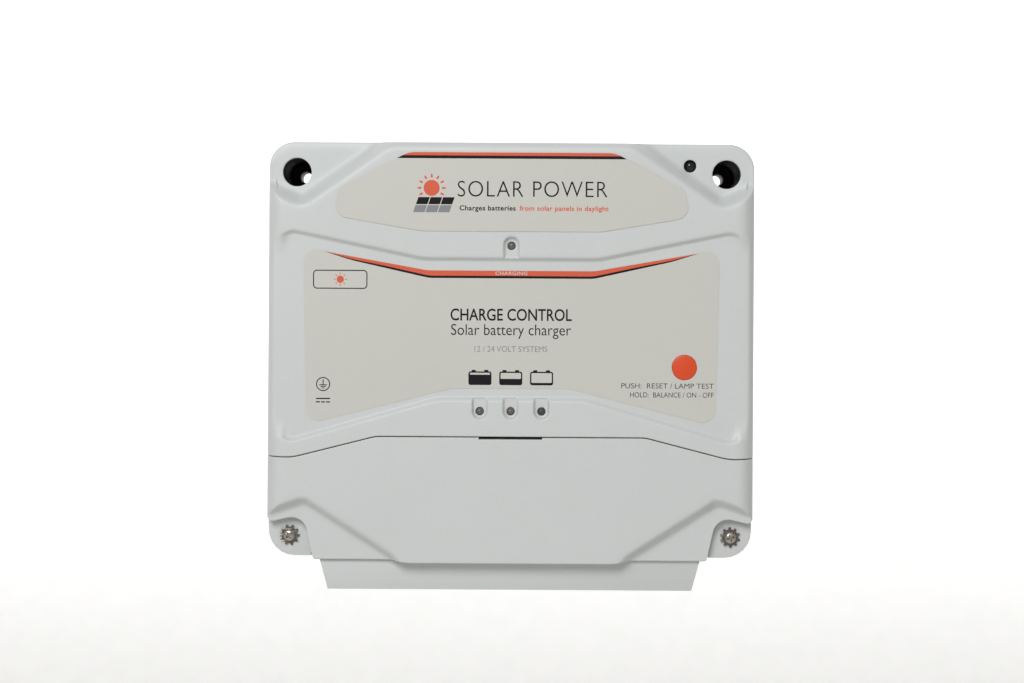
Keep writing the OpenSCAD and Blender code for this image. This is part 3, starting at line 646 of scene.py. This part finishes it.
# a box outline with rounded corners, from its lower left and upper right
def boxOutline(x0, z0, x1, z1, radius=0.0):
    return roundCorners([(x0, z0, radius), (x1, z0, radius), (x1, z1, radius), (x0, z1, radius)], 5)


# the part of an outline above a height: points below it are dropped, and its sides are cut where they cross
def clipAbove(outline, height):
    kept = []
    for (ax, az), (bx, bz) in zip(outline, np.roll(outline, -1, 0)):
        if az >= height:
            kept.append((ax, az))
        if (az >= height) != (bz >= height):
            kept.append((ax + (bx - ax) * (height - az) / (bz - az), height))
    return np.array(kept)


# ink is a plate a few hundredths of a millimetre thick on the face of its film
def inkPlate(name, sheet, outlines, material):
    face = film[sheet][1]
    return finishPiece(flatPlate(name, outlines, face - film["sink"], face + film["ink"]), material, "case")


# Words set in the built-in typeface, made a mesh, then stretched to fill a box given in millimetres.
# heavy thickens or thins each stroke, spacing spreads the letters, and lift raises the ink off the film.
def inkWords(name, sheet, text, x0, z0, x1, z1, material, heavy=0.0, spacing=1.0, lift=0.0):
    curve = bpy.data.curves.new(name, "FONT")
    curve.body = text
    curve.extrude = 0.01
    curve.offset = heavy
    curve.space_character = spacing
    curve.resolution_u = 4
    temporary = addObject(name + "Curve", curve)
    graph = bpy.context.evaluated_depsgraph_get()
    mesh = bpy.data.meshes.new_from_object(temporary.evaluated_get(graph))
    bpy.data.objects.remove(temporary)
    work = bmesh.new()
    work.from_mesh(mesh)
    bmesh.ops.remove_doubles(work, verts=work.verts, dist=1e-5)
    work.to_mesh(mesh)
    work.free()
    points = readPoints(mesh)
    low, high = points.min(0), points.max(0)
    share = (points - low) / (high - low)
    face = film[sheet][1] + lift
    placed = np.stack([x0 + share[:, 0] * (x1 - x0), -(face - film["sink"] + share[:, 2] * (film["ink"] + film["sink"])),
                       z0 + share[:, 1] * (z1 - z0)], 1) * mm
    mesh.vertices.foreach_set("co", placed.ravel())
    mesh.update()
    mesh.name = name
    return finishPiece(addObject(name, mesh), material, "case")


def buildFilms():
    upper = flatPlate("upperFilm", [upperOutline], *film["upper"])
    finishPiece(upper, "film", "case", stands=("upper_label",))
    main = flatPlate("mainFilm", [mainOutline, circleOutline(buttonPlace, film["buttonHole"], 72)], *film["main"])
    finishPiece(main, "film", "case", stands=("main_label",))


# the heights where the upper film's orange band and the black line under it end
bands = {"orangeFoot": 71.8, "blackFoot": 70.6}


# the two lines of colour along the top of each film
def buildBands():
    foot = bands["orangeFoot"]
    orange = clipAbove(upperOutline, foot)
    inkPlate("upperBandOrange", "upper", [orange], "printOrange")
    ends = orange[np.abs(orange[:, 1] - foot) < 1e-6][:, 0]
    rim = clipAbove(upperOutline, bands["blackFoot"])
    sides = rim[rim[:, 1] < foot]
    left, right = sides[sides[:, 0] < 0], sides[sides[:, 0] > 0]
    left, right = left[np.argsort(left[:, 1])], right[np.argsort(-right[:, 1])]
    line = np.concatenate([left, [(ends.min(), foot), (ends.max(), foot)], right])
    inkPlate("upperBandBlack", "upper", [line], "printBlack")
    top = roundCorners([(-2, 24.5, 0), (34.5, 24.5, 22), (77.1, 32.1, 0)], 14)
    under = roundCorners([(-2, 21.4, 0), (34.0, 21.4, 16), (66.2, 28.6, 60), (77.1, 32.1, 0)], 14)
    x = np.concatenate([np.linspace(0, 30, 7)[:-1], np.linspace(30, 77.0, 72)])
    over = np.interp(x, top[:, 0], top[:, 1])
    under = np.interp(x, under[:, 0], under[:, 1])
    split = np.minimum(under + np.interp(x, [0, 50, 66, 72, 77], [1.0, 0.9, 0.5, 0.28, 0.04]), over - 0.01)

    # the closed outline between two curves over x, each joined to its mirror image
    def strip(below, above):
        across = np.concatenate([-x[:0:-1], x])
        low, high = np.concatenate([below[:0:-1], below]), np.concatenate([above[:0:-1], above])
        return np.concatenate([np.stack([across, low], 1), np.stack([across, high], 1)[::-1]])

    inkPlate("mainBandOrange", "main", [strip(split, over)], "printOrange")
    inkPlate("mainBandBlack", "main", [strip(under, split)], "printBlack")


# a flat battery sign: a case with two posts on top, drawn as an outline and filled to a level
def batterySign(index, x, level):
    z0, z1, half, line = -22.6, -17.0, 4.75, 0.55
    inner = boxOutline(x - half + line, z0 + line + level * (z1 - z0 - 2 * line), x + half - line, z1 - line, 0.4)
    outlines = [boxOutline(x - half, z0, x + half, z1, 0.9)]
    if level < 1:
        outlines.append(inner)
    inkPlate(f"batterySign{index}", "main", outlines, "printBlack")
    for side, offset in enumerate((-2.6, 2.6)):
        post = boxOutline(x + offset - 0.85, z1 - 0.05, x + offset + 0.85, z1 + 0.62, 0.25)
        inkPlate(f"batteryPost{index}{side}", "main", [post], "printBlack")


# tapered rays round a centre: angles in degrees, the reach as (near, far) and the half widths as (near, far)
def sunRays(name, sheet, centre, angles, reach, half):
    for ray, degrees in enumerate(angles):
        angle = math.radians(degrees)
        along, across = np.array([math.cos(angle), math.sin(angle)]), np.array([-math.sin(angle), math.cos(angle)])
        near, far = np.array(centre) + reach[0] * along, np.array(centre) + reach[1] * along
        corners = [near + half[0] * across, near - half[0] * across, far - half[1] * across, far + half[1] * across]
        inkPlate(f"{name}{ray}", sheet, [np.array(corners)], "printOrange")


# a sun disc with short rays over a slanted panel of three by two cells
def sunSign():
    centre = (-33.0, 58.4)
    inkPlate("sunDisc", "upper", [circleOutline(centre, 3.3, 40)], "printOrange")
    sunRays("sunRay", "upper", centre, [-30 + ray * 30 for ray in range(9)], (4.3, 5.8), (0.45, 0.3))
    slant, width, height, gap = 0.35, 4.7, 2.9, 0.4
    for row in range(2):
        for column in range(3):
            x0 = -40.6 + column * (width + gap) + row * slant * (height + gap)
            z0 = 48.4 + row * (height + gap)
            cell = [(x0, z0), (x0 + width, z0), (x0 + width + slant * height, z0 + height),
                    (x0 + slant * height, z0 + height)]
            inkPlate(f"panelCell{row}{column}", "upper", [np.array(cell)], "printBlack" if row else "printGrey")


# a sun in a plain rounded frame
def framedSun():
    x, z, halfWidth, halfHeight, line = -70.5, 20.6, 11.2, 3.9, 0.42
    sides = ((-1, -1), (1, -1), (1, 1), (-1, 1))
    frames = ((halfWidth, halfHeight, 1.6), (halfWidth - line, halfHeight - line, 1.2))
    outlines = [roundCorners([(x + side * width, z + up * height, radius) for side, up in sides], 8)
                for width, height, radius in frames]
    inkPlate("frameLine", "main", outlines, "printBlack")
    inkPlate("frameSun", "main", [circleOutline((x, z), 1.5, 24)], "printOrange")
    sunRays("frameRay", "main", (x, z), [ray * 45 for ray in range(8)], (1.95, 2.75), (0.2, 0.16))


# an earth sign and a direct-current sign
def cornerSigns():
    x, z = -77.3, -22.6
    inkPlate("earthRing", "main", [circleOutline((x, z), 2.9, 40), circleOutline((x, z), 2.5, 40)], "printBlack")
    inkPlate("earthStem", "main", [boxOutline(x - 0.2, z - 0.3, x + 0.2, z + 1.9)], "printBlack")
    for i, half in enumerate((1.6, 1.05, 0.5)):
        inkPlate(f"earthBar{i}", "main", [boxOutline(x - half, z - 0.5 - i * 0.65, x + half, z - 0.15 - i * 0.65)], "printBlack")
    inkPlate("directLine", "main", [boxOutline(x - 2.9, z - 6.2, x + 2.9, z - 5.7)], "printBlack")
    for i in range(3):
        inkPlate(f"directDash{i}", "main", [boxOutline(x - 2.9 + i * 2.1, z - 7.6, x - 1.3 + i * 2.1, z - 7.1)], "printBlack")


# plain words: film, text, box in millimetres, ink, and how the letters are set
words = {
    "wordsPower": ("upper", "SOLAR POWER", (-22.3, 54.9, 39.3, 61.4), "printBlack", {"heavy": -0.012, "spacing": 1.08}),
    "wordsUse": ("upper", "Charges batteries", (-21.5, 48.6, 1.6, 51.3), "printBlack", {"heavy": 0.02, "spacing": 1.05}),
    "wordsFrom": ("upper", "from solar panels in daylight", (3.2, 48.6, 39.8, 51.3), "printOrange",
                  {"heavy": 0.02, "spacing": 1.05}),
    "wordsCharging": ("main", "CHARGING", (-6.6, 22.75, 6.6, 24.2), "film", {"heavy": 0.01, "spacing": 1.1, "lift": 0.008}),
    "wordsTitle": ("main", "CHARGE CONTROL", (-25.0, 3.9, 25.0, 8.9), "printBlack", {"heavy": 0.012}),
    "wordsKind": ("main", "Solar battery charger", (-24.7, -3.5, 24.7, 2.5), "printBlack", {"heavy": -0.004}),
    "wordsRange": ("main", "12 / 24 VOLT SYSTEMS", (-15.0, -8.9, 15.0, -6.5), "printGrey", {"heavy": -0.004}),
    "wordsPush": ("main", "PUSH:  RESET / LAMP TEST", (45.6, -23.6, 83.6, -21.5), "printBlack", {"heavy": -0.006}),
    "wordsHold": ("main", "HOLD:  BALANCE / ON - OFF", (49.2, -27.3, 83.6, -25.2), "printBlack", {"heavy": -0.006}),
}


def buildPrints():
    buildBands()
    sunSign()
    framedSun()
    cornerSigns()
    for index, (place, level) in enumerate(zip(ledPlaces, (0.82, 0.45, 0.1))):
        batterySign(index, place[0], level)
    for name, (sheet, text, box, material, settings) in words.items():
        inkWords(name, sheet, text, *box, material, **settings)


# button, lights and the light sensor

def buildControls():
    x, z = buttonPlace
    profile = [(0, 62.5), (2.0, 62.5), (2.0, 64.2), (6.35, 64.2), (6.35, 65.2), (5.15, 65.25), (5.15, 67.95),
               (5.1, 68.12), (4.97, 68.24), (4.75, 68.3), (4.2, 68.37), (3.0, 68.49), (1.6, 68.57), (0.4, 68.6), (0, 68.6)]
    cap = turnedShape("buttonCap", (x, z), profile, 96)
    finishPiece(cap, "button", "button", stands=("push_button",))
    # a light is a clear stem with a domed end and a foot ring
    lights = [("chargeLens", "charge_led", chargePlace, "lens")]
    lights += [(f"batteryLens{i + 1}", f"battery_led_{i + 1}", ledPlaces[i], ("lens", "lens", "darkLens")[i]) for i in range(3)]
    for name, node, place, shade in lights:
        dome = [(1.5 * math.cos(t), 67.4 + 1.5 * math.sin(t)) for t in np.linspace(0, math.pi / 2, 13)]
        lens = turnedShape(name, place, [(0, 60.7), (1.9, 60.7), (1.9, 61.55), (1.82, 61.6), (1.5, 61.62)] + dome, 40, 50)
        finishPiece(lens, shade, "case", stands=(node,))
    tip = 60.1
    dome = [(2.2 * math.cos(t), tip + 2.2 * math.sin(t)) for t in np.linspace(0, math.pi / 2, 17)]
    bead = turnedShape("sensorBead", sensorPlace, [(0, tip - 3.4), (1.9, tip - 3.4), (2.2, tip - 3.1)] + dome, 48, 50)
    finishPiece(bead, "resin", "case", stands=("ambient_sensor",))
    for i, offset in enumerate((-1.27, 1.27)):
        pin = [(0, 35.6), (0.3, 35.6), (0.3, tip - 3.39), (0, tip - 3.39)]
        leg = turnedShape(f"sensorLeg{i}", (sensorPlace[0] + offset, sensorPlace[1]), pin, 12)
        finishPiece(leg, "nickel", "case")


# screws and washers at the lower corners

# a cross recess is two tapered bars let into a turned head
def crossedHead(name, place, profile, reach, width, depth, turn):
    head = turnedShape(name, place, profile, 64)
    overshoot = 0.3        # the cutter stands this far out of the head
    top = max(p[1] for p in profile) + overshoot
    work = bmesh.new()
    for angle in (turn, turn + 90):
        direction = np.array([math.cos(math.radians(angle)), math.sin(math.radians(angle))])
        across = np.array([-direction[1], direction[0]])
        corners = []
        for level, grow in ((top - overshoot - depth, 0.62), (top, 1.0)):
            for along, side in ((-1, -1), (1, -1), (1, 1), (-1, 1)):
                at = np.array(place) + along * direction * reach * grow + side * across * width * grow / 2
                corners.append(work.verts.new((at[0] * mm, -level * mm, at[1] * mm)))
        for face in ((0, 1, 2, 3), (4, 5, 6, 7), (0, 1, 5, 4), (1, 2, 6, 5), (2, 3, 7, 6), (3, 0, 4, 7)):
            work.faces.new([corners[i] for i in face])
    bmesh.ops.recalc_face_normals(work, faces=work.faces)
    mesh = bpy.data.meshes.new(name + "Cutter")
    work.to_mesh(mesh)
    work.free()
    cutter = addObject(name + "Cutter", mesh)
    cut = head.modifiers.new("recess", "BOOLEAN")
    cut.operation = "DIFFERENCE"
    cut.solver = "EXACT"
    cut.use_self = True
    cut.object = cutter
    addBevel(head, 0.06, 35)
    applyModifiers(head, 38)
    bpy.data.objects.remove(cutter)
    return head


# a washer with ten outside teeth, each twisted so that one corner bites and the other lifts
def toothedWasher(name, place, turn):
    teeth, steps = 10, 8
    t = np.arange(teeth * steps)
    share = (t % steps) / steps
    angle = 2 * math.pi * t / (teeth * steps) + math.radians(turn)
    radius = np.where(share < 0.5, 4.25, 3.35)
    angle = angle + np.where(share < 0.5, 0.02, -0.02) * np.sin(share * 4 * math.pi)
    outer = np.stack([place[0] + radius * np.cos(angle), place[1] + radius * np.sin(angle)], 1)
    washer = flatPlate(name, [outer, circleOutline(place, 1.8, 40)], 60.6, 61.1)
    points = readPoints(washer.data)
    twist = np.zeros(len(points) // 2)
    twist[:len(outer)] = np.where(share < 0.5, (share - 0.19) * 1.6, 0)
    points[:, 1] -= np.concatenate([twist, twist]) * mm * 0.55
    washer.data.vertices.foreach_set("co", points.ravel())
    washer.data.update()
    return washer


def buildCornerScrews():
    head = [(0, 46.5), (1.15, 46.5), (1.4, 47.2), (1.4, 61.22), (2.3, 61.22), (2.44, 61.36), (2.44, 61.9),
            (2.36, 62.3), (2.15, 62.65), (1.75, 62.95), (1.2, 63.13), (0.5, 63.19), (0, 63.2)]
    for index, (side, turn) in enumerate(((-1, 38), (1, 20))):
        place = (side * 91.4, -85.5)
        screw = crossedHead(f"cornerScrew{index}", place, head, 1.75, 0.85, 1.5, turn)
        finishPiece(screw, "nickel", "case", stands=("earth_screws",) if index == 0 else ())
        washer = toothedWasher(f"toothedWasher{index}", place, turn * 0.7)
        finishPiece(washer, "darkSteel", "case", stands=("star_washers",) if index == 0 else ())


# the back, the tray and what stands in the wiring bay

# piece name, CAD node, material and edge radius for every part that keeps its CAD shape with softened edges
softened = [("heatSinkBody", "heat_sink", "anodised", 0.35), ("wiringTrayBody", "wiring_tray", "case", 0.35)]
softened += [(f"mountSleeve{i}", f"mount_sleeve_{i}", "sleeveNylon", 0.25) for i in (1, 2, 3, 4)]
softened += [(f"powerTerminal{i}", f"power_terminal_{i}", "greyNylon", 0.3) for i in range(1, 7)]
softened += [("senseTerminal", "sense_terminal", "greenNylon", 0.2), ("meterPort", "meter_port", "blackNylon", 0.25),
             ("settingsSwitch", "settings_switch", "redPlastic", 0.12), ("terminalClamps", "terminal_clamps", "nickel", 0.15),
             ("terminalScrews", "terminal_screws", "nickel", 0.1), ("senseScrews", "sense_screws", "nickel", 0.06)]
softened += [(f"switchSlider{i}", f"switch_slider_{i}", "whiteAcetal", 0.08) for i in (1, 2, 3, 4)]

# parts shown as their CAD shape: they are sealed inside, and only their finish changes
finishes = {
    "greyNylon": ["switch_plunger"],
    "blackNylon": ["button_switch", "board_connector"],
    "board": ["control_board", "power_board"],
    "brass": ["lower_standoffs", "upper_standoffs"],
    "nickel": ["board_screws", "transistor_clips", "clip_screws", "cover_screws"],
    "ferrite": ["inductor_core_1", "inductor_core_2"],
    "copper": ["inductor_winding_1", "inductor_winding_2"],
    "sleeve": ["input_capacitors", "output_capacitors"],
    "epoxy": ["power_transistors"],
    "pad": ["thermal_pads"],
    "gold": ["meter_contacts"],
}


def buildRest():
    for piece, node, material, width in softened:
        obj = softenedNode(piece, node, width)
        obj.data.materials.clear()
        obj.data.materials.append(materials[material])
        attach(obj, frame["nodes"][node]["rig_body"])
        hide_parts(node)
    for material, nodes in finishes.items():
        for node in nodes:
            held = frame["nodes"][node].data.materials
            for i in range(len(held)):
                held[i] = materials[material]
    print("softened parts:", len(softened), "- parts with a new finish:", sum(len(nodes) for nodes in finishes.values()))


buildFilms()
buildPrints()
buildControls()
buildCornerScrews()
buildRest()
print("pieces made")


# floor, backdrop, light and camera

# A sweep of white paper: level, then a quarter circle, then upright, as a profile carried across its width.
# It glows more the higher it stands, as a lit studio wall does.
studio = {"floor": -0.62, "front": -3.2, "back": 1.9, "bend": 1.1, "top": 3.0, "halfWidth": 4.0, "glow": 1.0}


def buildStudio():
    bend = studio["bend"]
    turn = np.linspace(0, math.pi / 2, 40)
    depth = np.concatenate([np.linspace(studio["front"], studio["back"] - bend, 12), studio["back"] - bend + bend * np.sin(turn),
                            np.full(8, studio["back"])])
    height = np.concatenate([np.full(12, studio["floor"]), studio["floor"] + bend - bend * np.cos(turn),
                             np.linspace(studio["floor"] + bend, studio["top"], 9)[1:]])
    across = np.linspace(-studio["halfWidth"], studio["halfWidth"], 9)
    x, y = np.repeat(across[None], len(depth), 0), np.repeat(depth[:, None], 9, 1)
    z = np.repeat(height[:, None], 9, 1)
    index = np.arange(x.size).reshape(x.shape)
    faces = np.stack([index[:-1, :-1], index[:-1, 1:], index[1:, 1:], index[1:, :-1]], -1).reshape(-1, 4)
    mesh = bpy.data.meshes.new("paperSweep")
    mesh.from_pydata(np.stack([x.ravel(), y.ravel(), z.ravel()], 1).tolist(), [], faces.tolist())
    mesh.shade_smooth()
    paper = addObject("paperSweep", mesh)
    material, tree, shader, place = startMaterial("whitePaper")
    fibre = addNode(tree, "ShaderNodeTexNoise", {"Scale": 60.0, "Detail": 4.0}, {"Vector": place})
    tone = setStops(addNode(tree, "ShaderNodeValToRGB", None, {"Fac": fibre.outputs["Fac"]}),
                    [(0.3, linearColour("DADAD8")), (0.7, linearColour("E1E1DF"))])
    parts = addNode(tree, "ShaderNodeSeparateXYZ", None, {"Vector": place})
    rise = addNode(tree, "ShaderNodeMapRange", {"From Min": -0.6, "From Max": 0.0, "To Min": 0.0, "To Max": studio["glow"]},
                   {"Value": parts.outputs["Z"]})
    tree.links.new(tone.outputs["Color"], shader.inputs["Base Color"])
    shader.inputs["Roughness"].default_value = 0.9
    shader.inputs["Emission Color"].default_value = (1, 1, 1, 1)
    tree.links.new(rise.outputs["Result"], shader.inputs["Emission Strength"])
    mesh.materials.append(material)


# square soft boxes that face the middle of the case: place in metres, side, watts and tint
softBoxes = {"key": ((-0.45, -1.6, 0.95), 0.8, 21.0, (0.98, 1.0, 1.0))}


def buildLights():
    target = Vector((0, -0.05, -0.01))
    for name, (place, side, watts, tint) in softBoxes.items():
        lamp = bpy.data.lights.new(name, "AREA")
        lamp.shape, lamp.size, lamp.energy, lamp.color = "SQUARE", side, watts, tint
        obj = addObject(name, lamp)
        obj.location = place
        obj.rotation_euler = (target - Vector(place)).to_track_quat("-Z", "Y").to_euler()
    world = bpy.data.worlds.new("studio")
    world.use_nodes = True
    bpy.context.scene.world = world
    sky = world.node_tree.nodes.get("Background")
    sky.inputs[0].default_value = (1, 0.975, 0.95, 1)
    sky.inputs[1].default_value = 0.4
    bpy.context.scene.view_settings.view_transform = "Standard"


view = {"place": (-0.0007, -1.070, 0.0129), "lens": 85.5, "shift": (0.0024, -0.0415), "rollDegrees": -0.35}


def buildCamera():
    lens = bpy.data.cameras.new("frontCamera")
    lens.lens, lens.sensor_width = view["lens"], 36
    lens.shift_x, lens.shift_y = view["shift"]
    lens.clip_start, lens.clip_end = 0.01, 20
    camera = addObject("frontCamera", lens)
    roll = Matrix.Rotation(math.radians(view["rollDegrees"]), 4, "Y")
    camera.matrix_world = Matrix.Translation(view["place"]) @ roll @ Matrix.Rotation(math.pi / 2, 4, "X")
    bpy.context.scene.camera = camera


buildStudio()
buildLights()
buildCamera()
